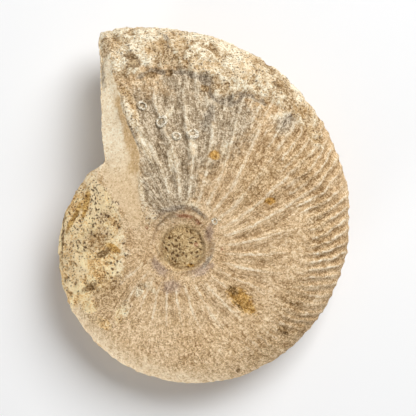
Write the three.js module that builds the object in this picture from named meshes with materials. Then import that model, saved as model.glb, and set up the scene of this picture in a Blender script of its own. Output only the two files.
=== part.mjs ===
// An ammonite fossil: one stone cast of the coiled shell, lying on its flank.
// Millimetres and degrees, +Z up. The origin is under the middle of the fossil, on the surface it rests on.
//
// The solid is one closed skin round the coiling axis. Seen from above, the outline is the venter's growth
// spiral, cut off at the broken aperture, where the previous whorl shows. Above and below the shell's middle
// plane the skin is as high as the flank there: the last whorl's, or the previous whorl's past the aperture.
import * as THREE from "three";

// The coil.
const AXIS_X = -6.64; // the coiling axis, from the origin
const AXIS_Y = -10.73;
const VENTER_RADIUS = 67.1; // from the axis to the venter at the aperture
const VENTER_GROWTH = 0.1295; // the radius falls by this share for each radian back from the aperture
const OUT_OF_ROUND = 2.17; // how far the venter strays from that spiral
const OUT_OF_ROUND_TURN = 0.89; // and how fast it strays, in waves for each radian

// The flanks, as half thicknesses at the aperture.
const TOP_DEPTH = 18.5;
const TOP_DEPTH_GROWTH = 0.085;
const UNDER_DEPTH = 16.6;
const UNDER_DEPTH_GROWTH = 0.022;
const MIDDLE_PLANE_Z = 14.6; // the underside is worn flat where the flank would reach below zero
const MIDDLE_PLANE_RISE = 0.02; // the shell leans up towards the aperture by this slope
const FLANK_POWER = 2.5; // how squarely the flank turns into the venter
const THICKEST_AT = 0.45; // where the flank is thickest, as a share of the venter radius
const INNER_FALL = 0.16; // how far it falls from there to the axis

// The aperture.
const APERTURE_TURN = 110.8; // direction from the axis to its outer corner
const FACE_REACH = 22; // the broken face's edge stands this far left of the axis
const FACE_LEAN = 0.055; // and leans out by this slope
const LIP_REACH = 11.7; // the lip stands this far left of the axis on the inner flank
const LIP_SLOPE = 0.42; // and leans out by this slope on the outer flank
const LIP_BEND = 3; // rounding between the two
const LIP_TURN = 112.8; // direction of the lip on the outer flank
const LIP_CLOSING = 0.2; // millimetres past the lip gained for each degree
const LIP_CLOSING_TURN = 140; // beyond this direction, where the lip ends at the umbilicus
const FACE_STEEP_WIDTH = 4; // the face falls steeply over this width, then gently
const FACE_STEEP_FALL = 0.2;
const FACE_GENTLE_FALL = 0.034; // share of the depth for each millimetre
const CORNER_ROUNDING = 5; // in the outline, at the outer corner
const NOTCH_ROUNDING = 1.2; // in the outline, where the previous whorl comes out
const SEAM_ROUNDING = 1.2; // along the seam between the two whorls
const FACE_WALL_DEPTH = 12; // the skin turns down at the outline within this depth
const FACE_WALL_POWER = 24; // and the higher this power, the sharper it turns

// The umbilicus.
const UMBILICUS_FLOOR_RADIUS = 4.8;
const UMBILICUS_RIM_RADIUS = 9.2;
const UMBILICUS_FLOOR_HEIGHT = 9.6; // above and below the middle plane

// The ribs.
const PRIMARY_SPACING = 11.58; // degrees
const SECONDARIES_PER_PRIMARY = 2.5;
const FIRST_PRIMARY_TURN = 117; // where the first one crosses the inner flank
const PRIMARY_HEIGHT = 0.5;
const SECONDARY_HEIGHT = 0.42;
const RIB_BASE_RADIUS = 16.5; // where a rib's direction is measured
const RIB_LEAN = 0.4; // degrees forward for each millimetre outwards

// The grid of the skin.
const COLUMNS_PER_PRIMARY = 5;
const COLUMNS = 31 * COLUMNS_PER_PRIMARY;
const ROWS = 32;
const UMBILICUS_ROWS = 4; // of each half's rows
const UMBILICUS_SHARE = UMBILICUS_ROWS / (ROWS / 2);
const INNER_CROWDING = 1.25; // rows lie closer together next to the umbilicus

const LEAST_SHARE = 0.01; // keeps a division clear of zero
const GAP_TURN = 260; // directions run from here, less a turn, to here
const FULL_TURN = 360;

const radians = THREE.MathUtils.degToRad;
const smoothstep = THREE.MathUtils.smoothstep;

// The smaller of two lengths, with the corner between them rounded over a width.
function roundedMin(a, b, width) {
  const share = Math.max(width - Math.abs(a - b), 0) / width;
  return Math.min(a, b) - (share * share * width) / 4;
}

function roundedMax(a, b, width) {
  return -roundedMin(-a, -b, width);
}

// Degrees back along the shell from the aperture's outer corner.
function backFromAperture(turn) {
  return APERTURE_TURN - turn;
}

// A growth spiral: the radius falls exponentially going back, with one slow wave on it.
function venterRadius(back) {
  const angle = radians(back);
  const wave = OUT_OF_ROUND * Math.sin(OUT_OF_ROUND_TURN * angle);
  return VENTER_RADIUS * Math.exp(-VENTER_GROWTH * angle) - (back > 0 && back < FULL_TURN ? wave : 0);
}

// Seen from above: the last whorl cut by the aperture's straight face, or the previous whorl past it.
function outlineRadius(turn) {
  const back = backFromAperture(turn);
  const leftwards = -Math.cos(radians(turn)) - FACE_LEAN * Math.sin(radians(turn));
  const toFace = FACE_REACH / Math.max(turn < 180 ? leftwards : 1, LEAST_SHARE);
  const last = roundedMin(venterRadius(back), toFace, CORNER_ROUNDING);
  return roundedMax(last, venterRadius(back + FULL_TURN), NOTCH_ROUNDING);
}

// The flank's cross-section from the axis (share 0) to the venter (share 1), as a share of its depth.
function flankSection(share) {
  const round = Math.sqrt(Math.max(0, 1 - Math.min(1, share) ** FLANK_POWER));
  const inner = Math.max(0, 1 - share / THICKEST_AT);
  return round * (1 - INNER_FALL * inner * inner);
}

// How far a place lies past the aperture's lip, which runs straight up from the umbilicus, then leans out.
function pastLip(turn, radius) {
  const closing = LIP_CLOSING * Math.max(0, turn - LIP_CLOSING_TURN);
  if (turn > 180) return radius - LIP_REACH + closing;
  const x = radius * Math.cos(radians(turn));
  const y = radius * Math.sin(radians(turn));
  return closing - x - roundedMax(LIP_REACH, LIP_SLOPE * y, LIP_BEND);
}

// How much of the last whorl's depth is left there: all of it before the lip, a steep fall, a gentle one.
function leftPastLip(turn, radius) {
  const past = pastLip(turn, radius);
  return 1 - FACE_STEEP_FALL * smoothstep(past, 0, FACE_STEEP_WIDTH) - FACE_GENTLE_FALL * Math.max(0, past);
}

// Height of one side's skin above the middle plane.
function flankHeight(turn, radius, depth, growth) {
  const back = backFromAperture(turn);
  const sheet = (angle) =>
    depth * Math.exp(-growth * radians(Math.max(0, angle))) * flankSection(radius / venterRadius(angle));
  const last = sheet(back) * leftPastLip(turn, radius);
  const whorls = roundedMax(last, sheet(back + FULL_TURN), SEAM_ROUNDING);
  const wallShare = Math.min(1, radius / outlineRadius(turn)) ** FACE_WALL_POWER;
  const walled = Math.min(whorls, FACE_WALL_DEPTH * Math.sqrt(1 - wallShare) + (1 - wallShare) * depth);
  const rim = smoothstep(radius, UMBILICUS_FLOOR_RADIUS, UMBILICUS_RIM_RADIUS);
  return walled * rim + UMBILICUS_FLOOR_HEIGHT * (1 - rim);
}

// Primary ribs on the inner flank, split into finer secondary ribs on the outer flank and over the venter.
function ribHeight(turn, radius, share) {
  const along = turn > LIP_TURN ? turn - FULL_TURN : turn;
  const crossing = FIRST_PRIMARY_TURN - along + RIB_LEAN * (radius - RIB_BASE_RADIUS);
  const wave = (spacing) => Math.cos(radians((FULL_TURN * crossing) / spacing));
  const inner = smoothstep(share, 0.2, 0.32) * (1 - smoothstep(share, 0.6, 0.72));
  const outer = smoothstep(share, 0.62, 0.75);
  const primary = PRIMARY_HEIGHT * wave(PRIMARY_SPACING) * inner;
  const secondary = SECONDARY_HEIGHT * wave(PRIMARY_SPACING / SECONDARIES_PER_PRIMARY) * outer;
  const onWhorl = 1 - smoothstep(turn, LIP_TURN - 6, LIP_TURN);
  const onPreviousWhorl = smoothstep(turn, 175, 195);
  return (primary + secondary) * Math.max(onWhorl, onPreviousWhorl);
}

// The skin: around is 0 to 1 round the axis, down is 0 at the top of the axis and 1 at its bottom.
function skinPoint(around, down, target) {
  const turn = GAP_TURN - FULL_TURN + around * FULL_TURN;
  const isTop = down <= 0.5;
  const out = isTop ? 2 * down : 2 - 2 * down;
  const outline = outlineRadius(turn);
  const inUmbilicus = Math.min(1, out / UMBILICUS_SHARE);
  const onFlank = Math.max(0, out - UMBILICUS_SHARE) / (1 - UMBILICUS_SHARE);
  const spread = Math.sin((Math.PI / 2) * onFlank ** INNER_CROWDING);
  const flat = UMBILICUS_RIM_RADIUS * inUmbilicus + (outline - UMBILICUS_RIM_RADIUS) * spread;
  const share = flat / outline;
  const rib = ribHeight(turn, flat, share);
  const outward = share ** 8;
  const radius = flat + (rib - SECONDARY_HEIGHT) * outward;
  const depth = isTop ? TOP_DEPTH : UNDER_DEPTH;
  const growth = isTop ? TOP_DEPTH_GROWTH : UNDER_DEPTH_GROWTH;
  const height = flankHeight(turn, flat, depth, growth) + rib * (1 - outward);
  const x = radius * Math.cos(radians(turn));
  const y = radius * Math.sin(radians(turn));
  const closing = out >= 1 ? 0 : height;
  const z = MIDDLE_PLANE_Z + MIDDLE_PLANE_RISE * y + (isTop ? closing : -closing);
  return target.set(AXIS_X + x, AXIS_Y + y, Math.max(0, z));
}

function ammoniteGeometry() {
  const geometry = new THREE.SphereGeometry(1, COLUMNS, ROWS);
  const places = geometry.getAttribute("position");
  const grid = geometry.getAttribute("uv");
  const point = new THREE.Vector3();
  for (let i = 0; i < places.count; i++) {
    skinPoint(grid.getX(i), 1 - grid.getY(i), point);
    places.setXYZ(i, point.x, point.y, point.z);
  }
  geometry.computeVertexNormals();
  return geometry;
}

const limestone = new THREE.MeshStandardMaterial({
  color: new THREE.Color(0.76, 0.64, 0.48),
  roughness: 0.9,
  metalness: 0,
});

const ammonite = new THREE.Mesh(ammoniteGeometry(), limestone);
ammonite.name = "ammonite";

const fossil = new THREE.Group();
fossil.name = "ammonite_fossil";
fossil.add(ammonite);

export default fossil;
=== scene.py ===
"""An ammonite fossil: the stone cast of a coiled shell, lying on its flank.

Shapes are worked out in millimetres, in polar coordinates round the coiling axis: turn is a direction in
degrees, anticlockwise from +X, and radius a distance from the axis. They are scaled to metres when a mesh
is made."""

import bpy
import numpy as np
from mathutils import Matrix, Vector


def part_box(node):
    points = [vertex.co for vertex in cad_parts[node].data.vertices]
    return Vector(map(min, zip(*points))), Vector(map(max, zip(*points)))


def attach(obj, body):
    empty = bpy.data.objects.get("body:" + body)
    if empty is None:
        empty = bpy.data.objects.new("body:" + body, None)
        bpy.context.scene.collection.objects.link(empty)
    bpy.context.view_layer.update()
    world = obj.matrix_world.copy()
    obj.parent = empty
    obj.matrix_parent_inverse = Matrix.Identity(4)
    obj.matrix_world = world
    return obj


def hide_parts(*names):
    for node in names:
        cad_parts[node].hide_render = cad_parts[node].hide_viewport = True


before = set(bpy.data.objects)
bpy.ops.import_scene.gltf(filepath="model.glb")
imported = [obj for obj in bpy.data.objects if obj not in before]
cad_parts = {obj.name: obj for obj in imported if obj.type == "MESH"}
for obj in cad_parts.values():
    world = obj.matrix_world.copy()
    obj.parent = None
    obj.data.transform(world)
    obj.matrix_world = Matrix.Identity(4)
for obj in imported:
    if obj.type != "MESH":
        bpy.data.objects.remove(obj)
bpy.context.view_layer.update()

MM = 0.001
FULL_TURN = 360.0

# The coil. Lengths are millimetres, angles degrees, growth is for each radian.
LOW, HIGH = (np.array(corner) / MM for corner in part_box("ammonite"))
AXIS = (LOW + HIGH)[:2] / 2 + np.array([-6.67, -10.73])
VENTER_RADIUS = 67.1
VENTER_GROWTH = 0.1295
OUT_OF_ROUND = 2.17
OUT_OF_ROUND_TURN = 0.89
MIDDLE_PLANE_Z = 14.6
MIDDLE_PLANE_RISE = 0.02
FLANK_POWER = 2.5
THICKEST_AT = 0.45
INNER_FALL = 0.16
TOP = {"side": 1.0, "depth": 18.5, "growth": 0.085}
UNDER = {"side": -1.0, "depth": 16.6, "growth": 0.022}

# The aperture.
APERTURE_TURN = 110.8
FACE_REACH = 22.0
FACE_LEAN = 0.055
LIP_REACH = 11.7
LIP_FARTHEST = 20.8
LIP_SLOPE = 0.42
LIP_BEND = 3.0
LIP_TURN = 112.8
LIP_CLOSING = 0.2
LIP_CLOSING_TURN = 140.0
FACE_STEEP_WIDTH = 3.0
FACE_STEEP_FALL = 0.07
FACE_STEEP_FROM = (8.0, 28.0)
FACE_GENTLE_FALL = 0.026
CORNER_ROUNDING = 5.0
NOTCH_ROUNDING = 1.2
SEAM_ROUNDING = 3.0
FACE_WALL_DEPTH = 12.0
FACE_WALL_POWER = 24.0

# The line, through a point and square to a direction, where the aperture's face meets the previous whorl,
# and the tan strip along the lip, painted shade of the steep fall there, which narrows upwards.
FACE_LINE_POINT = (-24.9, 21.3)
FACE_LINE_NORMAL = (0.848, 0.53)
STRIP_WIDTH = 5.0
STRIP_NARROWING = 0.1
STRIP_FOOT = 20.0

# The umbilicus. Its floor lies a little off the axis.
UMBILICUS_FLOOR_RADIUS = 5.2
UMBILICUS_RIM_RADIUS = 10.2
UMBILICUS_FLOOR_HEIGHT = 12.0
UMBILICUS_MIDDLE = (0.3, -1.4)
UMBILICUS_FLOOR_EDGE = (5.6, 8.0)

# The ribs.
FIRST_RIB_TURN = 115.8
RIB_SPACING = 11.5
RIBS_HELD_BACK = 2.4
RIBS_HELD_BACK_FROM = 202.0
SECONDARIES_PER_PRIMARY = 3.1
SECONDARY_SHIFT = 0.35
RIB_BASE_RADIUS = 18.0
RIB_BENDS_AT = 0.60
RIB_LEAN = 0.48
RIB_LEAN_BEYOND = 0.26
RIB_LEAN_LOST = 0.35
RIB_SWING = 2.5
RIB_SWING_STARTS = 0.86
PRIMARY_STARTS = (10.5, 15.0)
PRIMARY_ENDS = 0.58
PRIMARY_ENDS_LATER = 0.14
PRIMARY_OLDEST = (-166.0, -150.0)
SECONDARY_STARTS = 0.70
SECONDARY_STARTS_SOONER = 0.10
RIDGE_WIDTH = 0.7
SWELL_WIDTH = 1.6
FINE_RIDGE_WIDTH = 0.55
FINE_SWELL_WIDTH = 1.0

# The crust's band over the outer flank, with one lobe that reaches in.
CRUST_EDGE_RADIUS = 51.5
CRUST_TURNS = (44.0, 109.0)
LOBE_TURN = 74.0
LOBE_WIDTH = 9.0
LOBE_DEPTH = 7.5
PIT_SPACING = 1.05

# Heights and depths of the skin's relief.
SWELLING = 0.25
ROUGHNESS = 0.2
WALL_ROUGHNESS = 0.5
BROKEN_EDGE_ROUGHNESS = 0.75
CRUST_THICKNESS = 0.3
LUMP_HEIGHT = 0.6
UNDERCUT_DEPTH = 0.6
GRAIN_HEIGHT = 0.28
RIB_HEIGHT = 0.95
OCHRE_DEPTH = 0.35
CHALK_HEIGHT = 0.7
PIT_DEPTH = 0.5
SET_BACK = 0.45

# Worm tubes: place, ring radius and tube radius of each.
TUBES = [
    (-5.7, 34.8, 1.35, 0.42),
    (3.2, 31.2, 1.25, 0.5),
    (-1.3, 31.0, 1.0, 0.38),
    (-11.2, 39.8, 1.1, 0.36),
    (9.9, 6.3, 0.7, 0.28),
]
TUBE_STEPS = 40
TUBE_SIDES = 12

# The grids: the turn where the outline's two ends meet, cells along one side of the skin's square, and
# samples of the outline and of the table of evenly spaced radii.
GAP_TURN = 260.0
CELLS = 222
OUTLINE_SAMPLES = 2881
TABLE_TURNS = 1441
TABLE_SAMPLES = 360
TABLE_LEVELS = 240

# Floor, lights and camera, in metres.
FLOOR_SIZE = 4.0
FLOOR_COLOUR = (0.895, 0.9, 0.906, 1.0)
SURROUNDINGS_STRENGTH = 0.22
KEY_LIGHT = {"place": (0.36, 0.48, 0.70), "size": 0.55, "energy": 9.3}
FILL_LIGHT = {"place": (-0.5, -0.7, 0.07), "size": 0.25, "energy": 6.5}
LENS = 115.0
SENSOR_WIDTH = 36.0
VIEW_WIDTH = 0.1248
VIEW_SHIFT = (0.00105, -0.0006)

# --- smooth steps and noise -----------------------------------------------------------------------


def ease(value, start, end):
    """0 before start, 1 after end, and a smooth cubic between them."""
    share = np.clip((value - start) / (end - start), 0.0, 1.0)
    return share * share * (3.0 - 2.0 * share)


def bell(value, middle, width):
    """1 at the middle, falling off on both sides as exp(-square)."""
    return np.exp(-(((value - middle) / width) ** 2))


def rounded_min(a, b, width):
    """The smaller of two lengths, with the corner between them rounded over a width."""
    share = np.maximum(width - np.abs(a - b), 0.0) / width
    return np.minimum(a, b) - share * share * width / 4.0


def rounded_max(a, b, width):
    """The larger of two lengths, rounded in the same way."""
    return -rounded_min(-a, -b, width)


def lattice_random(corner, seed):
    """A random number from 0 to 1 for each whole-number corner: its three numbers are multiplied by large
    odd numbers, mixed by shifts, and the low bits are kept."""
    i, j, k = (corner[..., n].astype(np.int64).astype(np.uint64) for n in range(3))
    bits = i * np.uint64(0x9E3779B1) ^ j * np.uint64(0x85EBCA77) ^ k * np.uint64(0xC2B2AE3D)
    bits = (bits + np.uint64(seed * 7919 + 17)) * np.uint64(0x27D4EB2F)
    bits ^= bits >> np.uint64(15)
    bits *= np.uint64(0x2C1B3C6D)
    bits ^= bits >> np.uint64(13)
    return (bits & np.uint64(0xFFFFFF)).astype(float) / float(0xFFFFFF)


def noise(points, cell, seed, octaves=1):
    """Smooth noise from about -1 to 1: random values on a cubic lattice of that cell, eased between
    corners. Each further octave is half as large and half as strong."""
    total, strength, sum_of_strengths = 0.0, 1.0, 0.0
    for octave in range(octaves):
        scaled = points / (cell / 2.0**octave)
        corner = np.floor(scaled)
        part = scaled - corner
        part = part * part * (3.0 - 2.0 * part)
        value = 0.0
        for step in np.ndindex(2, 2, 2):
            weight = np.prod(np.where(step, part, 1.0 - part), axis=-1)
            value = value + weight * lattice_random(corner + step, seed + octave)
        total = total + strength * (2.0 * value - 1.0)
        sum_of_strengths += strength
        strength /= 2.0
    return total / sum_of_strengths * 1.4


def scattered(points, cell, seed):
    """Distance to the nearest of a scatter of points, one at a random place in each lattice cell, and
    that point's own random number."""
    scaled = points / cell
    home = np.floor(scaled)
    nearest = np.full(points.shape[:-1], 9.0)
    own = np.zeros(points.shape[:-1])
    for step in np.ndindex(3, 3, 3):
        corner = home + (np.array(step) - 1)
        place = corner + np.stack([lattice_random(corner, seed + axis) for axis in range(3)], axis=-1)
        distance = np.linalg.norm(scaled - place, axis=-1)
        closer = distance < nearest
        nearest = np.where(closer, distance, nearest)
        own = np.where(closer, lattice_random(corner, seed + 3), own)
    return nearest * cell, own


# --- the coil's own formulas ----------------------------------------------------------------------


def venter_radius(back):
    """A growth spiral: V * exp(-G * angle), less one slow wave, for an angle back from the aperture."""
    angle = np.radians(back)
    wave = OUT_OF_ROUND * np.sin(OUT_OF_ROUND_TURN * angle)
    wave = np.where((back > 0) & (back < FULL_TURN), wave, 0.0)
    return VENTER_RADIUS * np.exp(-VENTER_GROWTH * angle) - wave


def outline_radius(turn):
    """The last whorl's spiral, cut by the aperture's straight face, or the previous whorl's past that."""
    back = APERTURE_TURN - turn
    angle = np.radians(turn)
    leftwards = np.where(turn < 180, -np.cos(angle) - FACE_LEAN * np.sin(angle), 1.0)
    last = rounded_min(venter_radius(back), FACE_REACH / np.maximum(leftwards, 0.01), CORNER_ROUNDING)
    return rounded_max(last, venter_radius(back + FULL_TURN), NOTCH_ROUNDING)


def flank_section(share):
    """sqrt(1 - share ** P), less a fall towards the axis with the square of the distance inside the
    thickest ring."""
    inner = np.maximum(0.0, 1.0 - share / THICKEST_AT)
    bulge = np.sqrt(np.maximum(0.0, 1.0 - np.minimum(1.0, share) ** FLANK_POWER))
    return bulge * (1.0 - INNER_FALL * inner**2)


def past_lip(turn, radius):
    """Distance past the aperture's lip. The lip stands LIP_SLOPE * y to the left of the axis, but no less
    than LIP_REACH and no more than LIP_FARTHEST, with rounded bends. Below the axis it is a circle."""
    closing = LIP_CLOSING * np.maximum(0.0, turn - LIP_CLOSING_TURN)
    x = radius * np.cos(np.radians(turn))
    y = radius * np.sin(np.radians(turn))
    lip = rounded_min(rounded_max(LIP_REACH, LIP_SLOPE * y, LIP_BEND), LIP_FARTHEST, LIP_BEND)
    return np.where(turn > 180, radius - LIP_REACH, -x - lip) + closing


def flank_height(turn, radius, half):
    """Height of one side's skin from the middle plane: the last whorl's section, falling past the lip, or
    the previous whorl's where that is higher; a wall at the outline; and the umbilicus's floor near the
    axis."""
    back = APERTURE_TURN - turn

    def sheet(angle):
        depth = half["depth"] * np.exp(-half["growth"] * np.radians(np.maximum(0.0, angle)))
        return depth * flank_section(radius / venter_radius(angle))

    past = past_lip(turn, radius)
    steep = FACE_STEEP_FALL * ease(radius * np.sin(np.radians(turn)), *FACE_STEEP_FROM)
    left = 1.0 - steep * ease(past, 0.0, FACE_STEEP_WIDTH) - FACE_GENTLE_FALL * np.maximum(0.0, past)
    whorls = rounded_max(sheet(back) * left, sheet(back + FULL_TURN), SEAM_ROUNDING)
    wall = np.minimum(1.0, radius / outline_radius(turn)) ** FACE_WALL_POWER
    walled = np.minimum(whorls, FACE_WALL_DEPTH * np.sqrt(1.0 - wall) + (1.0 - wall) * half["depth"])
    rim = ease(radius, UMBILICUS_FLOOR_RADIUS, UMBILICUS_RIM_RADIUS)
    return walled * rim + UMBILICUS_FLOOR_HEIGHT * (1.0 - rim)


# --- the grid of the skin -------------------------------------------------------------------------


def square_rings():
    """A square grid seen as nested square rings: how far out each point's ring lies, 0 to 1, and how far
    round its ring the point lies, 0 to 1. On the diagonals the two ways of counting meet."""
    line = np.linspace(-1.0, 1.0, CELLS + 1)
    u, v = np.meshgrid(line, line, indexing="ij")
    out = np.maximum(np.abs(u), np.abs(v))
    divisor = np.where(out > 0, out, 1.0)
    eighths = np.where(
        np.abs(u) >= np.abs(v),
        np.where(u >= 0, v / divisor, 4.0 - v / divisor),
        np.where(v >= 0, 2.0 - u / divisor, 6.0 + u / divisor),
    )
    return out, (eighths % 8.0) / 8.0


def evenly_along(lengths, wanted):
    """For rows of running lengths that all start at 0, the column place where each wanted share of its
    row's whole length is reached. Rows are laid end to end, so that one interpolation serves them all."""
    rows, columns = lengths.shape
    offset = 2.0 * np.arange(rows)[:, None]
    shares = lengths / lengths[:, -1:] + offset
    places = np.broadcast_to(np.arange(columns, dtype=float), lengths.shape)
    return np.interp((wanted + offset).ravel(), shares.ravel(), places.ravel()).reshape(wanted.shape)


def ring_turns(around):
    """Turns spaced evenly along the outline's own length."""
    turns = np.linspace(GAP_TURN - FULL_TURN, GAP_TURN, OUTLINE_SAMPLES)
    outline = outline_radius(turns)
    x, y = outline * np.cos(np.radians(turns)), outline * np.sin(np.radians(turns))
    running = np.concatenate([[0.0], np.cumsum(np.hypot(np.diff(x), np.diff(y)))])
    return np.interp(around, running / running[-1], turns)


def ring_radii(turn, out, half):
    """Radii spaced evenly along the skin itself, from the axis out to the outline, in each direction."""
    turns = np.linspace(GAP_TURN - FULL_TURN, GAP_TURN, TABLE_TURNS)
    fine = 1.0 - (1.0 - np.linspace(0.0, 1.0, TABLE_SAMPLES)) ** 2
    radii = outline_radius(turns)[:, None] * fine
    heights = flank_height(turns[:, None], radii, half)
    steps = np.hypot(np.diff(radii, axis=1), np.diff(heights, axis=1))
    running = np.concatenate([np.zeros((len(turns), 1)), np.cumsum(steps, axis=1)], axis=1)
    levels = np.linspace(0.0, 1.0, TABLE_LEVELS)
    places = evenly_along(running, np.broadcast_to(levels, (len(turns), len(levels))))
    table = np.interp(places, np.arange(len(fine)), fine)
    row = (turn - turns[0]) / (turns[1] - turns[0])
    column = out * (len(levels) - 1)
    row0 = np.clip(np.floor(row).astype(int), 0, len(turns) - 2)
    column0 = np.clip(np.floor(column).astype(int), 0, len(levels) - 2)
    row_part, column_part = row - row0, column - column0
    share = (
        table[row0, column0] * (1 - row_part) * (1 - column_part)
        + table[row0 + 1, column0] * row_part * (1 - column_part)
        + table[row0, column0 + 1] * (1 - row_part) * column_part
        + table[row0 + 1, column0 + 1] * row_part * column_part
    )
    return share * outline_radius(turn)


def skin_sheet(half):
    """One side's skin on the square grid: a dictionary of arrays with each point's turn, radius and
    place."""
    out, around = square_rings()
    turn = ring_turns(around)
    radius = ring_radii(turn, out, half)
    height = np.where(out < 1.0, flank_height(turn, radius, half), 0.0)
    x = radius * np.cos(np.radians(turn))
    y = radius * np.sin(np.radians(turn))
    z = MIDDLE_PLANE_Z + MIDDLE_PLANE_RISE * y + half["side"] * height
    side = half["side"] * ease(height, 0.0, 6.0)
    return {"turn": turn, "radius": radius, "x": x, "y": y, "z": z, "side": side}


def closed_skin():
    """Both sheets joined along the outline: the fields of every point, and the quads, facing outwards."""
    count = CELLS + 1
    top, under = skin_sheet(TOP), skin_sheet(UNDER)
    inside = np.zeros((count, count), bool)
    inside[1:-1, 1:-1] = True
    fields = {name: np.concatenate([top[name].ravel(), under[name][inside]]) for name in top}
    top_ids = np.arange(count * count).reshape(count, count)
    under_ids = top_ids.copy()
    under_ids[inside] = count * count + np.arange(inside.sum())

    def quads(ids):
        return np.stack([ids[:-1, :-1], ids[1:, :-1], ids[1:, 1:], ids[:-1, 1:]], axis=-1).reshape(-1, 4)

    return fields, np.concatenate([quads(top_ids), quads(under_ids)[:, ::-1]])


def outward_normals(points, quads):
    """The sum of the normals of the quads round each point, each the cross product of its diagonals, made
    unit."""
    crossed = np.cross(points[quads[:, 2]] - points[quads[:, 0]], points[quads[:, 3]] - points[quads[:, 1]])
    normals = np.zeros_like(points)
    for corner in range(4):
        np.add.at(normals, quads[:, corner], crossed)
    return normals / np.maximum(np.linalg.norm(normals, axis=1, keepdims=True), 1e-12)


# --- ribs, crust and marks, each a field over the points ------------------------------------------


def spot(f, x, y, length, width, heading=0.0):
    """1 at a place on the flank, falling off as a bell over a length along the heading and a width across
    it."""
    angle = np.radians(heading)
    dx, dy = f["x"] - x, f["y"] - y
    along = dx * np.cos(angle) + dy * np.sin(angle)
    across = -dx * np.sin(angle) + dy * np.cos(angle)
    return np.exp(-((along / length) ** 2) - (across / width) ** 2) * f["upper"]


def spots(f, places):
    """The strongest of several spots."""
    return np.max([spot(f, *place) for place in places], axis=0)


def sector(turn, start, end, fade):
    """1 for turns between start and end, fading over some degrees outside them."""
    return ease(turn, start - fade, start) * (1.0 - ease(turn, end, end + fade))


def rib_fields(f):
    """Ribs are counted by a phase that grows by one from each primary to the next, going back from the
    aperture. A rib leans forward on the inner flank, bends straighter at RIB_BENDS_AT of the way out, and
    swings forward to the venter. Primaries fade near the bend, where finer secondaries begin. A rib's
    section is a ridge on a broader swell, both bells, less a furrow's depth."""
    turn, radius, share, point = f["turn"], f["radius"], f["share"], f["point"]
    along = np.where(turn > LIP_TURN, turn - FULL_TURN, turn)
    upright = 1.0 - RIB_LEAN_LOST * ease(along, 45.0, 80.0)
    bend = RIB_BENDS_AT * f["outline"]
    forward = RIB_LEAN * (np.minimum(radius, bend) - RIB_BASE_RADIUS)
    forward = (forward + RIB_LEAN_BEYOND * np.maximum(radius - bend, 0.0)) * upright
    forward = forward + RIB_SWING * np.clip((share - RIB_SWING_STARTS) / (1.0 - RIB_SWING_STARTS), 0.0, 1.2)
    back = FIRST_RIB_TURN - along + forward
    held = bell(back, RIBS_HELD_BACK_FROM, 20.0) - 0.8 * ease(back, 222.0, 242.0)
    held = RIBS_HELD_BACK * held
    phase = (back - held) / RIB_SPACING + 0.07 * noise(point, 12.0, 11) + 0.07 * noise(point, 4.0, 13, 3)
    spacing = radius * np.radians(RIB_SPACING)

    def section(waves, gap, ridge_width, swell_width):
        off = (waves - np.round(waves)) * gap
        return bell(off, 0.0, ridge_width), bell(off, 0.0, swell_width)

    ridge, swell = section(phase, spacing, RIDGE_WIDTH, SWELL_WIDTH)
    fine_phase = phase * SECONDARIES_PER_PRIMARY + SECONDARY_SHIFT
    fine_spacing = spacing / SECONDARIES_PER_PRIMARY
    fine_ridge, fine_swell = section(fine_phase, fine_spacing, FINE_RIDGE_WIDTH, FINE_SWELL_WIDTH)
    primary_end = PRIMARY_ENDS + PRIMARY_ENDS_LATER * sector(along, 22.0, 112.0, 15.0)
    primary = ease(radius, *PRIMARY_STARTS) * (1.0 - ease(share, primary_end - 0.1, primary_end + 0.1))
    primary = primary * ease(along, *PRIMARY_OLDEST)
    low = ease(-along, -15.0, 15.0)
    ragged_radius = radius + 1.5 * noise(point, 3.0, 15, 2)
    primary = primary * (1.0 - low * (1.0 - ease(ragged_radius, 11.5, 15.0)))
    start = SECONDARY_STARTS - SECONDARY_STARTS_SOONER * sector(along, 22.0, 80.0, 15.0)
    worn = 0.25 * ease(along, 42.0, 52.0) + 0.35 * ease(-along, 5.0, 20.0)
    worn = worn + 0.40 * ease(-along, 48.0, 70.0) + 0.25 * ease(-along, 95.0, 110.0)
    worn = worn + 0.5 * ease(share, 0.93, 1.0) * (1.0 - worn)
    secondary = ease(share, start, start + 0.12) * (1.0 - worn)
    whorl = 1.0 - f["face"]
    f["primary"] = primary * whorl * np.clip(0.88 + 0.5 * noise(point, 6.0, 12, 2), 0.0, 1.0)
    f["secondary"] = secondary * whorl * np.clip(0.85 + 0.5 * noise(point, 5.0, 14, 2), 0.0, 1.0)
    f["rib_count"], f["rib_gap"] = phase, spacing
    f["rib_width"] = 0.9 - 0.2 * low + 0.15 * sector(along, 80.0, 110.0, 10.0)
    f["rib_relief"] = f["primary"] * (1.0 - 0.3 * low) * (0.5 * ridge + 0.5 * swell - 0.4)
    f["rib_relief"] += f["secondary"] * (0.4 * fine_ridge + 0.5 * fine_swell - 0.45)


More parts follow.
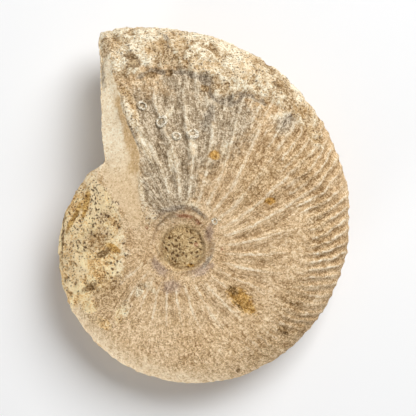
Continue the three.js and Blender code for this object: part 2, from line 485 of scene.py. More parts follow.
def crust_fields(f):
    """Cream crust: a band over the outer flank behind the aperture, with one lobe reaching in; most of
    the previous whorl that shows; and a few patches. Noise of three scales makes its edge ragged. With it
    go the hollow under the lobe's inner edge, the lower rim painted paler as painted light, with some wear
    of the keel, and the crust's honey-coloured part."""
    turn, radius, point = f["turn"], f["radius"], f["point"]
    ragged = 3.2 * noise(point, 8.0, 21, 3)
    edge = CRUST_EDGE_RADIUS - LOBE_DEPTH * bell(turn, LOBE_TURN, LOBE_WIDTH) + ragged
    band = ease(radius, edge - 1.4, edge + 1.0) * sector(turn, *CRUST_TURNS, 6.0)
    left = ease(-f["past_line"], -1.5, 3.0) * sector(turn, 128.0, 203.0, 16.0)
    left = left * ease(radius + ragged, 13.0, 22.0)
    left = left * ease(noise(point, 9.0, 22, 3), -1.3, -0.3)
    patches = spots(f, [
        (-30.0, -14.0, 5.0, 3.4, 20.0),
        (-17.5, -20.5, 4.5, 2.2, 60.0),
        (-23.5, -24.0, 3.6, 2.0, 150.0),
        (-27.5, -19.0, 3.2, 2.6, 0.0),
        (-15.0, 39.5, 9.0, 2.4, 106.0),
        (39.5, 31.0, 4.0, 2.4, 120.0),
        (-8.5, 7.0, 2.4, 1.6, 50.0),
        (-12.0, -13.5, 3.0, 1.4, 60.0),
    ])
    patches = 0.9 * ease(patches, 0.1, 0.9)
    below = (1.0 - f["upper"]) * ease(noise(point, 16.0, 23, 3), 0.15, 0.55) * (1.0 - f["face"])
    f["crust"] = np.maximum.reduce([band * f["upper"], left * f["upper"], patches, below])
    f["undercut"] = bell(radius, edge - 1.5, 0.6) * sector(turn, 60.0, 103.0, 4.0) * f["upper"]
    below_axis = sector(np.where(turn > LIP_TURN, turn - FULL_TURN, turn), -145.0, -90.0, 30.0)
    # Painted light: the lower outer edge, which faces away from the key light, is painted paler; the keel
    # there is partly worn pale.
    f["rim"] = ease(f["share"], 0.82, 1.0) * below_axis * ease(f["side"], -0.6, 0.2)
    f["honey"] = ease(-f["x"], 12.0, 22.0) * ease(-f["y"], -24.0, -14.0)


def mark_fields(f):
    """Colour marks that belong to places on the flank: stains, and painted shade in some places."""
    f["grey"] = 1.5 * (1.0 - f["face"]) * spots(f, [
        (-1.0, 33.0, 15.5, 13.0, 0.0),
        (-4.0, 17.0, 9.0, 9.0, 0.0),
        (13.0, 37.0, 8.0, 9.0, 0.0),
        (31.0, 35.5, 4.2, 2.6, 50.0),
        (3.0, 47.0, 9.0, 4.0, 0.0),
    ])
    f["ochre"] = spots(f, [
        (17.6, -16.9, 6.0, 3.0, -48.0),
        (25.8, 12.2, 2.3, 1.3, 10.0),
        (-28.0, 11.5, 5.5, 1.2, 76.0),
        (-31.5, 8.0, 7.0, 1.0, 62.0),
        (9.7, 25.5, 2.2, 1.6, 0.0),
        (-20.0, -1.5, 3.0, 1.4, -30.0),
        (2.5, -6.4, 1.4, 0.5, 0.0),
    ])
    f["brown"] = spots(f, [
        (30.0, -26.2, 2.1, 1.7, 0.0),
        (15.2, -13.8, 2.0, 1.2, -48.0),
        (16.6, -18.5, 3.0, 0.5, -48.0),
        (-15.3, 54.3, 2.2, 1.5, 0.0),
        (-35.4, 1.5, 8.0, 0.5, 86.0),
        (-26.5, -13.0, 3.4, 1.3, 25.0),
        (-23.0, -3.0, 3.4, 1.1, 30.0),
        (16.8, -38.4, 0.7, 0.7, 0.0),
        (27.3, 46.2, 1.8, 0.8, -10.0),
        (-9.0, 49.0, 2.4, 1.2, 10.0),
        (-14.0, 52.0, 2.6, 2.0, 30.0),
        (-3.5, 49.5, 1.6, 1.2, 0.0),
        (7.0, 45.0, 1.6, 1.4, 0.0),
    ])
    f["umber"] = spots(f, [
        (33.0, -20.0, 9.0, 4.0, 62.0),
        (25.0, -33.0, 7.0, 3.0, 35.0),
        (41.0, 6.0, 9.0, 3.5, 90.0),
        (36.0, 22.0, 7.0, 4.0, 115.0),
        (-21.0, -15.0, 7.0, 5.0, 30.0),
        (-25.0, 1.0, 6.0, 4.0, 20.0),
        (22.0, 17.0, 9.0, 4.0, 45.0),
        (-20.5, -12.5, 3.0, 2.0, 0.0),
        (-27.0, -22.5, 3.2, 1.6, 140.0),
        (-22.0, 8.0, 3.0, 2.0, 60.0),
        (31.0, -17.0, 7.0, 2.5, 60.0),
        (-22.0, 58.0, 4.5, 2.5, 75.0),
        (33.0, -28.0, 6.0, 3.5, 45.0),
    ])
    f["rust"] = spots(f, [
        (0.6, 7.4, 3.0, 0.6, -10.0),
        (4.6, 5.6, 1.2, 0.6, -40.0),
        (-10.2, 4.2, 0.7, 0.5, 0.0),
        (11.7, -1.8, 0.6, 0.5, 60.0),
        (4.2, -0.6, 0.8, 0.8, 0.0),
    ])
    # Painted shade: the shadow under the crust lobe's edge, and dark crescents on the umbilicus's rim.
    f["painted_shade"] = np.maximum(1.4 * f["undercut"], spots(f, [
        (-2.5, 9.8, 5.2, 1.1, 8.0),
        (4.6, 9.2, 3.4, 0.8, -40.0),
        (7.2, -5.6, 3.4, 0.7, 55.0),
        (31.0, 36.0, 3.0, 1.6, 40.0),
        (-23.4, 49.0, 4.5, 0.9, 98.0),
        (14.5, 42.5, 5.0, 0.6, 22.0),
        (-4.5, 60.0, 1.6, 0.9, -50.0),
        (-14.5, 33.0, 7.0, 0.6, 112.0),
        (8.0, 36.0, 5.0, 2.0, 70.0),
    ]))
    # Partly a lilac-brown patch, partly painted shade on the umbilicus's lower rim.
    f["mauve_and_shade"] = spots(f, [
        (-2.9, -12.6, 3.4, 2.4, 0.0),
        (-6.5, -7.5, 4.0, 1.6, -50.0),
        (6.0, -8.0, 4.0, 1.6, 30.0),
        (8.0, 3.0, 3.0, 1.4, 80.0),
    ])
    f["chalk"] = spots(f, [
        (28.3, 37.0, 3.4, 1.2, 24.0),
        (-3.6, 37.6, 2.4, 1.0, 60.0),
        (3.2, 27.0, 3.2, 1.4, 96.0),
        (-9.0, -13.0, 2.6, 0.9, -45.0),
        (-11.5, 15.0, 5.5, 1.0, 100.0),
        (3.0, 11.2, 3.4, 0.7, -8.0),
        (-10.8, 29.0, 7.0, 1.2, 112.0),
        (-15.0, 37.0, 4.5, 1.3, 112.0),
        (12.6, 27.5, 3.0, 1.1, 62.0),
        (-3.0, 24.0, 4.0, 1.0, 95.0),
    ])


def pit_fields(f):
    """The umbilicus's floor, inside a ragged circle; the dark grooves, and the painted shade of two crescents
    on its rim, bells round circles; and the pits, a scatter of points, each open where its own random number
    is under the crowding at that place."""
    shift = noise(f["point"], 3.0, 43, 2)
    inner, rim = f["inner"] + 0.3 * shift, f["radius"] + 0.4 * shift
    f["floor"] = 1.0 - ease(inner, *UMBILICUS_FLOOR_EDGE)
    patchy = ease(noise(f["point"], 5.0, 44, 2), -0.6, 0.4)
    f["groove_and_shade"] = 0.75 * bell(inner, 6.0, 0.35) * patchy + 0.5 * bell(rim, 7.6, 0.5) * ease(f["y"], -3.0, 3.0)
    # Two crescents on the umbilicus's rim, at the top and lower right: painted shade, not grooves.
    f["groove_and_shade"] += 0.9 * bell(rim, 10.0, 0.8) * sector(f["turn"], 50.0, 125.0, 20.0)
    f["groove_and_shade"] += 0.7 * bell(rim, 9.0, 0.8) * sector(f["turn"], -75.0, -5.0, 20.0)
    left = sector(f["turn"], 135.0, 215.0, 10.0)
    crowding = np.clip(f["crust"] * (0.20 + 0.50 * left), 0.0, 1.0)
    crowding = crowding * ease(noise(f["point"], 5.0, 41, 2), -0.3, 0.5)
    crowding = crowding + 1.1 * patchy * (1.0 - ease(f["inner"], 5.2, 5.8))
    distance, own = scattered(f["point"], PIT_SPACING, 42)
    f["pit"] = ease(crowding - own, 0.0, 0.15) * (1.0 - ease(distance, 0.2, 0.5))


def umbilicus_relief(f):
    """Rings inside the umbilicus, where the edges of older whorls show: ridges less grooves, each a bell
    round a circle."""
    rings = 0.3 * bell(f["inner"], 6.8, 0.5) - 0.4 * bell(f["inner"], 6.0, 0.35)
    return rings - 0.35 * bell(f["radius"], 7.6, 0.4) + 0.3 * bell(f["radius"], 8.6, 0.5)


def relief(f):
    """How far the skin stands out from the plain coil, in millimetres: noise all over, the crust's lumps,
    the grey zone's grains, ribs, the umbilicus's rings and chalky blobs, less ochre hollows and pits."""
    point = f["point"]
    large, small = noise(point, 6.0, 53, 2), noise(point, 1.5, 56, 2)
    f["lump"] = np.clip(0.5 + 0.5 * large + 0.4 * small, 0.0, 1.0)
    rough = SWELLING * noise(point, 8.0, 51, 2) + ROUGHNESS * small
    rough = rough * (1.0 - 0.8 * (f["face"] - f["wall"]))
    rough = rough + WALL_ROUGHNESS * f["wall"] * noise(point, 3.0, 59, 3)
    lumps = CRUST_THICKNESS + LUMP_HEIGHT * ease(f["lump"], 0.2, 0.7) + 0.25 * small
    lumps = f["crust"] * lumps * (1.0 - 0.35 * f["honey"])
    lumps = lumps * (1.0 - 0.45 * ease(f["share"], 0.93, 1.0)) - UNDERCUT_DEPTH * f["undercut"]
    grains = GRAIN_HEIGHT * np.clip(f["grey"], 0.0, 1.0) * noise(point, 1.3, 54, 2)
    ribs = RIB_HEIGHT * f["rib_relief"] * (1.0 - 0.6 * f["crust"])
    sunk = OCHRE_DEPTH * ease(f["ochre"], 0.2, 0.8) * (1.0 + noise(point, 1.5, 55)) * (1.0 - f["crust"])
    broken = sector(f["turn"], 113.0, 134.0, 2.0) * ease(f["share"], 0.88, 0.97)
    rough = rough + broken * (BROKEN_EDGE_ROUGHNESS * noise(point, 6.0, 58, 3) - 0.3)
    stands = rough + lumps + grains + ribs + umbilicus_relief(f)
    stands = stands + CHALK_HEIGHT * ease(f["chalk"], 0.1, 0.9) * (0.6 + 0.6 * noise(point, 1.6, 57))
    return stands - sunk - PIT_DEPTH * f["pit"] - SET_BACK


def finished_skin():
    """The closed skin with every field, in millimetres from the coiling axis, and its quads."""
    f, quads = closed_skin()
    f["point"] = np.stack([f["x"], f["y"], f["z"]], axis=-1)
    normals = outward_normals(f["point"], quads)
    f["upper"] = ease(f["side"], -0.05, 0.1)
    f["outline"] = outline_radius(f["turn"])
    f["share"] = f["radius"] / f["outline"]
    f["inner"] = np.hypot(f["x"] - UMBILICUS_MIDDLE[0], f["y"] - UMBILICUS_MIDDLE[1])
    from_line = (f["x"] - FACE_LINE_POINT[0]) * FACE_LINE_NORMAL[0]
    f["past_line"] = from_line + (f["y"] - FACE_LINE_POINT[1]) * FACE_LINE_NORMAL[1]
    past = past_lip(f["turn"], f["radius"]) + 0.7 * noise(f["point"], 3.0, 61, 2)
    ragged_line = f["past_line"] + 1.2 * noise(f["point"], 4.0, 62, 2)
    f["face"] = ease(past, -0.6, 0.9) * ease(ragged_line, -2.0, 2.5) * sector(f["turn"], 95.0, 165.0, 3.0)
    f["face"] = f["face"] * ease(f["y"], 2.0, 4.0)
    f["face"] = f["face"] * ease(f["radius"] + noise(f["point"], 3.0, 64, 2), 11.5, 15.5)
    f["wall"] = f["face"] * (1.0 - ease(f["z"], 12.0, 20.0))
    f["peach"] = 1.0 - ease(f["y"], 16.0, 30.0)
    strip_width = STRIP_WIDTH - STRIP_NARROWING * (f["y"] - STRIP_FOOT) + 0.6 * noise(f["point"], 5.0, 63, 2)
    # The tan strip along the lip: painted shade of its steep fall.
    shade_strip = ease(past, 0.0, 0.8) * (1.0 - ease(past - strip_width, -1.6, 1.0))
    f["shade_strip"] = shade_strip * ease(f["y"], 18.0, 22.0) * (1.0 - ease(f["y"], 40.0, 46.0))
    rib_fields(f)
    crust_fields(f)
    mark_fields(f)
    pit_fields(f)
    points = f["point"] + normals * relief(f)[:, None]
    points[:, 2] = np.maximum(points[:, 2], 0.0)
    return f, points, quads


MASKS = (
    "rib_count", "rib_gap", "rib_width", "primary", "secondary",
    "crust", "honey", "rim", "grey", "face", "wall", "peach", "shade_strip", "floor",
    "umber", "ochre", "brown", "rust", "painted_shade", "mauve_and_shade", "chalk", "pit", "lump", "groove_and_shade",
)


def make_mesh(name, points, faces, masks, material):
    """A smooth-shaded mesh object from points in millimetres round the coiling axis, with named point
    masks."""
    mesh = bpy.data.meshes.new(name)
    placed = (points + np.array([AXIS[0], AXIS[1], 0.0])) * MM
    mesh.vertices.add(len(placed))
    mesh.vertices.foreach_set("co", placed.astype(np.float32).ravel())
    mesh.loops.add(faces.size)
    mesh.loops.foreach_set("vertex_index", faces.astype(np.int32).ravel())
    mesh.polygons.add(len(faces))
    mesh.polygons.foreach_set("loop_start", np.arange(0, faces.size, faces.shape[1], dtype=np.int32))
    mesh.update(calc_edges=True)
    mesh.polygons.foreach_set("use_smooth", np.ones(len(faces), bool))
    for mask, values in masks.items():
        layer = mesh.attributes.new(mask, "FLOAT", "POINT")
        layer.data.foreach_set("value", values.astype(np.float32))
    mesh.materials.append(material)
    mesh.validate()
    piece = bpy.data.objects.new(name, mesh)
    bpy.context.scene.collection.objects.link(piece)
    return piece


# --- looks ----------------------------------------------------------------------------------------


def tint(red, green, blue):
    """A colour given on the usual 0 to 255 display scale, as the linear values that shaders
    take."""
    display = np.array([red, green, blue]) / 255.0
    linear = np.where(display <= 0.04045, display / 12.92, ((display + 0.055) / 1.055) ** 2.4)
    return (*(float(value) for value in linear), 1.0)


class Nodes:
    """Adds nodes to one node tree. An input may be a number, a colour or another node's output."""

    def __init__(self, tree):
        self.tree = tree

    def add(self, kind, inputs=(), **settings):
        node = self.tree.nodes.new(kind)
        for name, value in settings.items():
            setattr(node, name, value)
        for key, value in dict(inputs).items():
            self.feed(node.inputs[key], value)
        return node

    def feed(self, socket, value):
        if isinstance(value, bpy.types.NodeSocket):
            self.tree.links.new(value, socket)
        else:
            socket.default_value = value

    def math(self, operation, a, b=0.0, clamp=False):
        return self.add("ShaderNodeMath", {0: a, 1: b}, operation=operation, use_clamp=clamp).outputs[0]

    def times(self, a, b):
        return self.math("MULTIPLY", a, b)

    def ramp(self, value, start, end, low=0.0, high=1.0):
        """Low at start, high at end, and a smooth cubic between them."""
        inputs = {"Value": value, "From Min": start, "From Max": end, "To Min": low, "To Max": high}
        return self.add("ShaderNodeMapRange", inputs, interpolation_type="SMOOTHSTEP").outputs["Result"]

    def mix(self, share, a, b):
        node = self.add("ShaderNodeMix", data_type="RGBA")
        for socket, value in zip([node.inputs[0], node.inputs[6], node.inputs[7]], [share, a, b]):
            self.feed(socket, value)
        return node.outputs[2]

    def scaled(self, place, size):
        """A place in units of a size."""
        divided = self.math("DIVIDE", 1.0, size)
        node = self.add("ShaderNodeVectorMath", {0: place}, operation="SCALE")
        self.feed(node.inputs["Scale"], divided)
        return node.outputs[0]

    def noise(self, place, size, detail=2.0, roughness=0.5):
        inputs = {"Vector": self.scaled(place, size), "Scale": 1.0, "Detail": detail, "Roughness": roughness}
        return self.add("ShaderNodeTexNoise", inputs).outputs["Fac"]

    def place_group(self, tree, named):
        """A group with its inputs given by name; its outputs come back."""
        node = self.tree.nodes.new("ShaderNodeGroup")
        node.node_tree = tree
        for name, value in named.items():
            self.feed(node.inputs[name], value)
        return node.outputs


def new_group(name, inputs, outputs):
    """An empty shader group with named sockets: its tree's nodes, its input node's outputs and its output
    node."""
    tree = bpy.data.node_groups.new(name, "ShaderNodeTree")
    for socket, kind in inputs.items():
        tree.interface.new_socket(socket, in_out="INPUT", socket_type=f"NodeSocket{kind}")
    for socket in outputs:
        tree.interface.new_socket(socket, in_out="OUTPUT", socket_type="NodeSocketFloat")
    nodes = Nodes(tree)
    return nodes, nodes.add("NodeGroupInput").outputs, nodes.add("NodeGroupOutput").inputs


def ragged_group():
    """Breaks up a soft mask's edge with noise: mask + (noise - 1/2) * strength, cut off softly at 1/2."""
    sockets = {"Mask": "Float", "Place": "Vector", "Size": "Float", "Strength": "Float", "Softness": "Float"}
    nodes, given, out = new_group("ragged edge", sockets, ["Mask"])
    speckle = nodes.noise(given["Place"], given["Size"], 4.0, 0.8)
    shift = nodes.times(nodes.math("SUBTRACT", speckle, 0.5), given["Strength"])
    ragged = nodes.math("ADD", given["Mask"], shift)
    low = nodes.math("SUBTRACT", 0.5, given["Softness"])
    high = nodes.math("ADD", 0.5, given["Softness"])
    nodes.feed(out["Mask"], nodes.ramp(ragged, low, high))
    return nodes.tree


def grain_group():
    """Stony grain: noise whose octaves are equally strong, and a random tone for each small crystal. Tone
    runs from 0, dark, to 1, light, round 1/2; Height is the same, not cut off."""
    sockets = {"Place": "Vector", "Size": "Float", "Crystal": "Float", "Contrast": "Float"}
    nodes, given, out = new_group("stony grain", sockets, ["Tone", "Height"])
    crystals = nodes.scaled(given["Place"], given["Crystal"])
    cells = nodes.add("ShaderNodeTexVoronoi", {"Vector": crystals, "Scale": 1.0})
    crystal = nodes.add("ShaderNodeSeparateColor", {0: cells.outputs["Color"]}).outputs[0]
    speckle = nodes.noise(given["Place"], given["Size"], 3.0, 1.0)
    both = nodes.math("ADD", nodes.times(speckle, 4.0), nodes.times(crystal, 1.6))
    swing = nodes.math("SUBTRACT", both, 2.8)
    swing = nodes.times(swing, given["Contrast"])
    nodes.feed(out["Tone"], nodes.math("ADD", swing, 0.5, clamp=True))
    nodes.feed(out["Height"], swing)
    return nodes.tree


def pinholes_group():
    """Small holes, one to a cell of the spacing, open where the cell's own random number is under the
    crowding. A little noise in the place makes them uneven."""
    sockets = {"Place": "Vector", "Spacing": "Float", "Width": "Float", "Crowding": "Float"}
    nodes, given, out = new_group("pinholes", sockets, ["Hole"])
    wobble = nodes.noise(given["Place"], 0.6, 1.0, 0.5)
    uneven = nodes.add("ShaderNodeVectorMath", {0: given["Place"], 1: wobble}, operation="ADD").outputs[0]
    spaced = nodes.scaled(uneven, given["Spacing"])
    cells = nodes.add("ShaderNodeTexVoronoi", {"Vector": spaced, "Scale": 1.0})
    own = nodes.add("ShaderNodeSeparateColor", {0: cells.outputs["Color"]}).outputs[1]
    half = nodes.times(given["Width"], 0.5)
    hole = nodes.ramp(cells.outputs["Distance"], given["Width"], half)
    is_open = nodes.ramp(nodes.math("SUBTRACT", given["Crowding"], own), 0.0, 0.1)
    nodes.feed(out["Hole"], nodes.times(hole, is_open))
    return nodes.tree


def crest_group():
    """A rib's crest: 1 where the count of ribs is a whole number, falling to 0 over a width, in
    millimetres, and the furrow between two crests, rising from 0 there to 1 at 1.8 widths."""
    sockets = {"Count": "Float", "Gap": "Float", "Width": "Float"}
    nodes, given, out = new_group("rib crest", sockets, ["Crest", "Furrow"])
    off = nodes.math("ABSOLUTE", nodes.math("SUBTRACT", given["Count"], nodes.math("ROUND", given["Count"])))
    distance = nodes.times(off, given["Gap"])
    nodes.feed(out["Crest"], nodes.ramp(distance, given["Width"], 0.0))
    nodes.feed(out["Furrow"], nodes.ramp(distance, given["Width"], nodes.times(given["Width"], 1.8)))
    return nodes.tree


def streak_group():
    """Growth lines: noise drawn out along the ribs, from the count of ribs and the distance from the
    axis."""
    nodes, given, out = new_group("growth lines", {"Count": "Float", "Gap": "Float"}, ["Tone"])
    across = nodes.times(given["Count"], 9.0)
    place = nodes.add("ShaderNodeCombineXYZ", {0: across, 1: given["Gap"]}).outputs[0]
    lines = nodes.noise(place, 1.0, 2.0, 0.9)
    nodes.feed(out["Tone"], nodes.ramp(lines, 0.3, 0.7))
    return nodes.tree


RAGGED = ragged_group()
GRAIN = grain_group()
PINHOLES = pinholes_group()
CREST = crest_group()
STREAKS = streak_group()

# Sizes of the stone's patterns, in millimetres.
GRAIN_SIZE = 1.5
CRYSTAL_SIZE = 0.38
MOTTLE_SIZE = 9.0
BLOTCH_SIZE = 4.0
PINHOLE_SPACING = 0.8
PINHOLE_WIDTH = 0.4
FINE_CREST_WIDTH = 0.7
BUMP_DEPTH = 0.16

# Each finish has a dark, a middle and a light tone, which the grain runs through.
STONE = [tint(154, 118, 75), tint(214, 180, 136), tint(252, 226, 186)]
UMBER = [tint(130, 97, 57), tint(192, 158, 113), tint(242, 214, 172)]
PEACH = [tint(170, 136, 95), tint(222, 190, 148), tint(255, 232, 196)]
GREY = [tint(104, 86, 62), tint(164, 144, 116), tint(226, 209, 182)]
CRUST = [tint(146, 116, 77), tint(214, 188, 150), tint(255, 245, 218)]
HONEY = [tint(152, 104, 48), tint(238, 197, 136), tint(255, 234, 186)]
CREAM_FACE = [tint(212, 184, 142), tint(246, 227, 194), tint(255, 248, 226)]
PEACH_FACE = [tint(196, 162, 116), tint(232, 203, 162), tint(250, 228, 192)]
# Tan: the crust's tan patches, and the painted shade of the strip along the lip.
TAN_FACE = [tint(180, 144, 94), tint(216, 182, 134), tint(240, 214, 174)]
FLOOR = [tint(120, 90, 50), tint(192, 162, 114), tint(232, 208, 160)]
# Dark brown of the umbilicus's grooves, and of the painted shade on its rim.
GROOVE_AND_SHADE = tint(112, 82, 56)
OCHRE = [tint(112, 74, 28), tint(194, 144, 68), tint(238, 200, 124)]
BROWN = [tint(68, 46, 22), tint(128, 96, 56), tint(200, 168, 122)]
RUST = [tint(108, 62, 38), tint(176, 120, 84), tint(222, 182, 148)]
# Painted shade: the tones of the dark crescents and shadows.
SHADE_TONES = [tint(90, 78, 62), tint(142, 126, 106), tint(206, 192, 170)]
# Mauve: a lilac-brown patch, and painted shade on the umbilicus's lower rim.
MAUVE = [tint(124, 100, 82), tint(178, 150, 128), tint(220, 194, 170)]
CHALK = [tint(184, 158, 120), tint(240, 219, 184), tint(255, 247, 224)]
TUBE = [tint(150, 132, 104), tint(226, 212, 184), tint(255, 248, 232)]
# Furrows and crests: partly the worn stone's own colour, partly painted shade in the furrows and painted
# highlight on the crests.
FURROW = [tint(104, 76, 44), tint(156, 122, 80), tint(210, 176, 132)]
CREST_PALE = [tint(206, 176, 136), tint(244, 223, 190), tint(255, 248, 226)]
PIT = tint(92, 54, 22)


def object_place(nodes):
    """Object coordinates in millimetres."""
    own = nodes.add("ShaderNodeTexCoord").outputs["Object"]
    scale = nodes.add("ShaderNodeVectorMath", {0: own}, operation="SCALE")
    scale.inputs["Scale"].default_value = 1.0 / MM
    return scale.outputs[0]


def graded(nodes, tones, tone):
    """A colour between a dark, a middle and a light one, for a tone from 0 to 1."""
    dark, middle, light = tones
    darker = nodes.mix(nodes.ramp(tone, 0.5, 0.0), middle, dark)
    return nodes.mix(nodes.ramp(tone, 0.5, 1.0), darker, light)


def tube_material():
    """Pale lime with fine grain."""
    material = bpy.data.materials.new("tube lime")
    material.use_nodes = True
    nodes = Nodes(material.node_tree)
    shader = material.node_tree.nodes["Principled BSDF"]
    inputs = {"Place": object_place(nodes), "Size": 1.2, "Crystal": 0.3, "Contrast": 0.7}
    grain = nodes.place_group(GRAIN, inputs)
    bump = nodes.add("ShaderNodeBump", {"Height": grain["Height"], "Strength": 0.8, "Distance": 0.1 * MM})
    nodes.feed(shader.inputs["Base Color"], graded(nodes, TUBE, grain["Tone"]))
    nodes.feed(shader.inputs["Roughness"], nodes.ramp(grain["Tone"], 0.0, 1.0, 0.95, 0.8))
    nodes.feed(shader.inputs["Normal"], bump.outputs["Normal"])
    shader.inputs["Specular IOR Level"].default_value = 0.3
    return material


def limestone_material():
    """Warm stone with sugary grain, paler crests and browner furrows, partly worn colour and partly painted
    highlight and shade; then the grey zone, the crust, the broken face, the umbilicus, the stains, the
    painted light and shade, and the pits, each let in by its own mask."""
    material = bpy.data.materials.new("limestone")
    material.use_nodes = True
    nodes = Nodes(material.node_tree)
    shader = material.node_tree.nodes["Principled BSDF"]
    place = object_place(nodes)

    def mask(name):
        return nodes.add("ShaderNodeAttribute", attribute_name=name).outputs["Fac"]

    def ragged(source, size, strength, softness):
        inputs = {"Mask": source, "Place": place, "Size": size, "Strength": strength, "Softness": softness}
        return nodes.place_group(RAGGED, inputs)["Mask"]

    crust, grey, face = mask("crust"), mask("grey"), mask("face")
    primary, secondary = mask("primary"), mask("secondary")
    roughened = nodes.math("ADD", nodes.times(nodes.math("MAXIMUM", crust, secondary), 0.2), 0.74)
    smooth = nodes.math("SUBTRACT", face, mask("wall"))
    contrast = nodes.math("SUBTRACT", roughened, nodes.times(smooth, 0.38))
    contrast = nodes.math("ADD", contrast, nodes.times(mask("umber"), 0.25))
    inputs = {"Place": place, "Size": GRAIN_SIZE, "Crystal": CRYSTAL_SIZE, "Contrast": contrast}
    grain = nodes.place_group(GRAIN, inputs)
    mottle = nodes.noise(place, MOTTLE_SIZE, 3.0, 0.55)
    blotch = nodes.noise(place, BLOTCH_SIZE, 3.0, 0.8)
    count, gap = mask("rib_count"), mask("rib_gap")
    streaks = nodes.place_group(STREAKS, {"Count": count, "Gap": gap})["Tone"]
    lump = mask("lump")
    drawn_out = nodes.times(streaks, nodes.math("ADD", nodes.times(grey, 0.15), 0.4))
    uneven = nodes.math("ADD", drawn_out, nodes.times(lump, 0.2))
    streaky = nodes.math("ADD", nodes.times(grain["Tone"], 0.62), nodes.math("SUBTRACT", uneven, 0.11))
    tone = nodes.mix(face, streaky, grain["Tone"])

    fine_count = nodes.math("ADD", nodes.times(count, SECONDARIES_PER_PRIMARY), SECONDARY_SHIFT)
    fine_gap = nodes.times(gap, 1.0 / SECONDARIES_PER_PRIMARY)
    wide = nodes.place_group(CREST, {"Count": count, "Gap": gap, "Width": mask("rib_width")})
    narrow = nodes.place_group(CREST, {"Count": fine_count, "Gap": fine_gap, "Width": FINE_CREST_WIDTH})
    fine_crest = nodes.times(narrow["Crest"], secondary)
    crest = nodes.math("MAXIMUM", nodes.times(wide["Crest"], primary), fine_crest)
    broad_furrow = nodes.times(wide["Furrow"], primary)
    broad_furrow = nodes.times(broad_furrow, nodes.ramp(mask("rib_width"), 0.7, 0.9, 0.55, 1.0))
    furrow = nodes.math("MAXIMUM", broad_furrow, nodes.times(narrow["Furrow"], secondary))
    crest = ragged(crest, 1.1, 2.4, 0.45)
    furrow = ragged(furrow, 2.0, 2.2, 0.5)

    stone = nodes.mix(nodes.ramp(mottle, 0.35, 0.65), graded(nodes, STONE, tone), graded(nodes, PEACH, tone))
    stone = nodes.mix(nodes.ramp(blotch, 0.52, 0.72, 0.0, 0.5), stone, graded(nodes, UMBER, tone))
    stone = nodes.mix(nodes.times(secondary, 0.55), stone, graded(nodes, UMBER, tone))
    # Painted light on the lower outer edge, with some wear of the keel.
    rim = mask("rim")
    stone = nodes.mix(nodes.times(rim, 0.8), stone, graded(nodes, PEACH_FACE, tone))
    stone = nodes.mix(nodes.times(rim, 0.45), stone, graded(nodes, CREAM_FACE, tone))
    # Painted shade in the furrows and painted highlight on the crests, partly also the stone's worn colour.
    stone = nodes.mix(nodes.times(furrow, 0.55), stone, graded(nodes, FURROW, tone))
    pale = graded(nodes, CREST_PALE, tone)
    stone = nodes.mix(nodes.times(crest, 0.75), stone, pale)
    greyed = nodes.mix(nodes.times(crest, 0.7), graded(nodes, GREY, tone), pale)
    stone = nodes.mix(nodes.times(ragged(grey, 3.5, 1.8, 0.35), 0.9), stone, greyed)
    honey = mask("honey")
    # The crust is painted paler on its raised lumps and darker between them: painted light and shade of the
    # lumps.
    lump_light_and_shade = nodes.ramp(lump, 0.15, 0.7, -0.05, 0.45)
    patchy = nodes.math("ADD", nodes.times(nodes.ramp(blotch, 0.35, 0.65), 0.25), lump_light_and_shade)
    sponge = nodes.math("ADD", patchy, nodes.times(nodes.math("SUBTRACT", grain["Tone"], 0.5), 0.6))
    sponge = nodes.math("ADD", sponge, nodes.ramp(honey, 0.0, 1.0, 0.2, 0.42))
    crusted = nodes.mix(honey, graded(nodes, CRUST, sponge), graded(nodes, HONEY, sponge))
    crusted = nodes.mix(nodes.ramp(mottle, 0.5, 0.6, 0.0, 0.5), crusted, graded(nodes, TAN_FACE, sponge))
    stone = nodes.mix(ragged(crust, 2.4, 1.8, 0.25), stone, crusted)
    bare = nodes.mix(mask("peach"), graded(nodes, CREAM_FACE, tone), graded(nodes, PEACH_FACE, tone))
    # A tan strip along the lip: painted shade of the steep fall there.
    bare = nodes.mix(ragged(mask("shade_strip"), 2.0, 1.1, 0.45), bare, graded(nodes, TAN_FACE, tone))
    bare = nodes.mix(nodes.times(ragged(mask("wall"), 6.0, 2.4, 0.4), 0.6), bare, graded(nodes, PEACH, tone))
    stone = nodes.mix(ragged(face, 1.5, 0.8, 0.2), stone, bare)
    floored = nodes.math("ADD", nodes.times(grain["Tone"], 0.6), nodes.ramp(blotch, 0.35, 0.65, 0.0, 0.4))
    stone = nodes.mix(nodes.times(mask("floor"), 0.9), stone, graded(nodes, FLOOR, floored))
    # Dark lines in the umbilicus's grooves, and painted shade on its rim.
    stone = nodes.mix(nodes.times(ragged(mask("groove_and_shade"), 1.5, 1.2, 0.4), 0.6), stone, GROOVE_AND_SHADE)
    # Each mark's tones, how ragged and how soft its edge is, and the most that it covers. Most are stains;
    # the dark grey-brown row is painted shade, and the mauve row partly so.
    for name, tones, strength, softness, most in [
        ("umber", UMBER, 2.4, 0.3, 0.75),
        # Partly painted shade on the umbilicus's lower rim.
        ("mauve_and_shade", MAUVE, 1.6, 0.3, 0.8),
        # Painted shade, not a stain.
        ("painted_shade", SHADE_TONES, 1.8, 0.3, 0.75),
        ("ochre", OCHRE, 1.3, 0.15, 0.9),
        ("brown", BROWN, 1.6, 0.2, 0.85),
        ("rust", RUST, 1.2, 0.2, 0.8),
        ("chalk", CHALK, 1.8, 0.25, 0.8),
    ]:
        let_in = nodes.times(ragged(mask(name), 2.0, strength, softness), most)
        stone = nodes.mix(let_in, stone, graded(nodes, tones, tone))

    crowding = nodes.times(crust, nodes.ramp(mottle, 0.4, 0.6, 0.3, 0.8))
    inputs = {"Place": place, "Spacing": PINHOLE_SPACING, "Width": PINHOLE_WIDTH, "Crowding": crowding}
    pinholes = nodes.place_group(PINHOLES, inputs)
    holes = nodes.math("MAXIMUM", pinholes["Hole"], nodes.ramp(mask("pit"), 0.2, 0.7))
    stone = nodes.mix(nodes.times(holes, 0.8), stone, PIT)

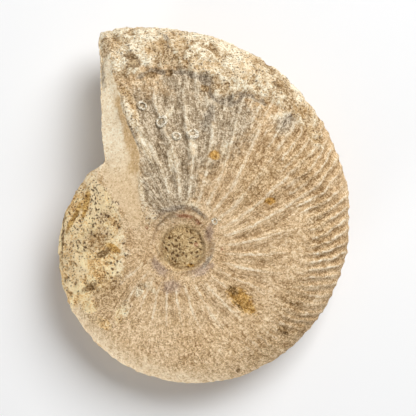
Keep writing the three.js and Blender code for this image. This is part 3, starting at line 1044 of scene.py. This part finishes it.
    height = nodes.math("SUBTRACT", grain["Height"], nodes.times(holes, 1.5))
    inputs = {"Height": height, "Strength": 0.9, "Distance": BUMP_DEPTH * MM}
    bump = nodes.add("ShaderNodeBump", inputs)
    nodes.feed(shader.inputs["Base Color"], stone)
    nodes.feed(shader.inputs["Roughness"], nodes.ramp(grain["Tone"], 0.5, 1.0, 0.95, 0.72))
    nodes.feed(shader.inputs["Normal"], bump.outputs["Normal"])
    shader.inputs["Specular IOR Level"].default_value = 0.18
    return material


def worm_tubes(f, points, quads):
    """Coiled limy tubes of small worms that grew on the shell. Each is a ring, thicker on one side: a
    small circle carried round a larger one, swelled by noise, lying in the skin's own slope there."""
    normals = outward_normals(points, quads)
    around, across = np.meshgrid(
        np.linspace(0.0, 2 * np.pi, TUBE_STEPS, endpoint=False),
        np.linspace(0.0, 2 * np.pi, TUBE_SIDES, endpoint=False),
        indexing="ij",
    )
    all_points, all_quads = [], []
    for number, (x, y, ring_radius, tube_radius) in enumerate(TUBES):
        nearest = np.argmin((f["x"] - x) ** 2 + (f["y"] - y) ** 2 + 1e6 * (f["upper"] < 0.5))
        up = normals[nearest]
        east = np.cross([0.0, 1.0, 0.0], up)
        east /= np.linalg.norm(east)
        north = np.cross(up, east)
        swell = 1.0 + 0.25 * np.cos(around + number) + 0.2 * noise(
            np.stack([np.cos(around), np.sin(around), np.cos(across)], axis=-1) * 2.0, 1.0, 71 + number, 2
        )
        reach = ring_radius * (1.0 + 0.12 * np.sin(2 * around + number))
        reach = reach + tube_radius * swell * np.cos(across)
        lift = tube_radius * (swell * np.sin(across) + 0.25)
        place = points[nearest] + (reach * np.cos(around))[..., None] * east
        place = place + (reach * np.sin(around))[..., None] * north
        all_points.append((place + lift[..., None] * up).reshape(-1, 3))
        ids = np.arange(TUBE_STEPS * TUBE_SIDES).reshape(TUBE_STEPS, TUBE_SIDES)
        ids = ids + number * TUBE_STEPS * TUBE_SIDES
        along, side = np.roll(ids, -1, axis=0), np.roll(ids, -1, axis=1)
        both = np.roll(along, -1, axis=1)
        all_quads.append(np.stack([ids, along, both, side], axis=-1).reshape(-1, 4))
    return np.concatenate(all_points), np.concatenate(all_quads)


fields, points, quads = finished_skin()
cast = make_mesh("ammonite_cast", points, quads, {name: fields[name] for name in MASKS}, limestone_material())
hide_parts("ammonite")
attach(cast, "root")

tubes = make_mesh("worm_tubes", *worm_tubes(fields, points, quads), {}, tube_material())
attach(tubes, "root")


def area_light(name, place, size, energy):
    """A square area light that faces the fossil."""
    lamp = bpy.data.lights.new(name, "AREA")
    lamp.shape = "SQUARE"
    lamp.size = size
    lamp.energy = energy
    light = bpy.data.objects.new(name, lamp)
    light.location = place
    light.rotation_euler = (-Vector(place)).to_track_quat("-Z", "Y").to_euler()
    bpy.context.scene.collection.objects.link(light)


def build_stage():
    """A pale floor, a large soft light high to the right, a low weak one opposite, and pale surroundings."""
    scene = bpy.context.scene
    bpy.ops.mesh.primitive_plane_add(size=FLOOR_SIZE, location=(0.0, 0.0, 0.0))
    floor = bpy.context.object
    floor.name = "floor"
    paint = bpy.data.materials.new("pale floor")
    paint.use_nodes = True
    shader = paint.node_tree.nodes["Principled BSDF"]
    shader.inputs["Base Color"].default_value = FLOOR_COLOUR
    shader.inputs["Roughness"].default_value = 0.9
    floor.data.materials.append(paint)
    world = bpy.data.worlds.new("pale surroundings")
    world.use_nodes = True
    background = world.node_tree.nodes["Background"]
    background.inputs["Color"].default_value = (1.0, 1.0, 1.0, 1.0)
    background.inputs["Strength"].default_value = SURROUNDINGS_STRENGTH
    scene.world = world
    scene.view_settings.view_transform = "Standard"
    area_light("soft key", **KEY_LIGHT)
    area_light("low fill", **FILL_LIGHT)


def build_camera():
    """A long lens straight above the fossil, framed on its outline with a little more room to the right."""
    low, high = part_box("ammonite")
    data = bpy.data.cameras.new("camera")
    data.sensor_width = SENSOR_WIDTH
    data.lens = LENS
    camera = bpy.data.objects.new("camera", data)
    middle = (low + high) / 2
    height = MIDDLE_PLANE_Z * MM + VIEW_WIDTH * LENS / SENSOR_WIDTH
    camera.location = (middle.x + VIEW_SHIFT[0], middle.y + VIEW_SHIFT[1], height)
    data.clip_start = 0.01
    data.clip_end = 20.0
    bpy.context.scene.collection.objects.link(camera)
    bpy.context.scene.camera = camera


build_stage()
build_camera()
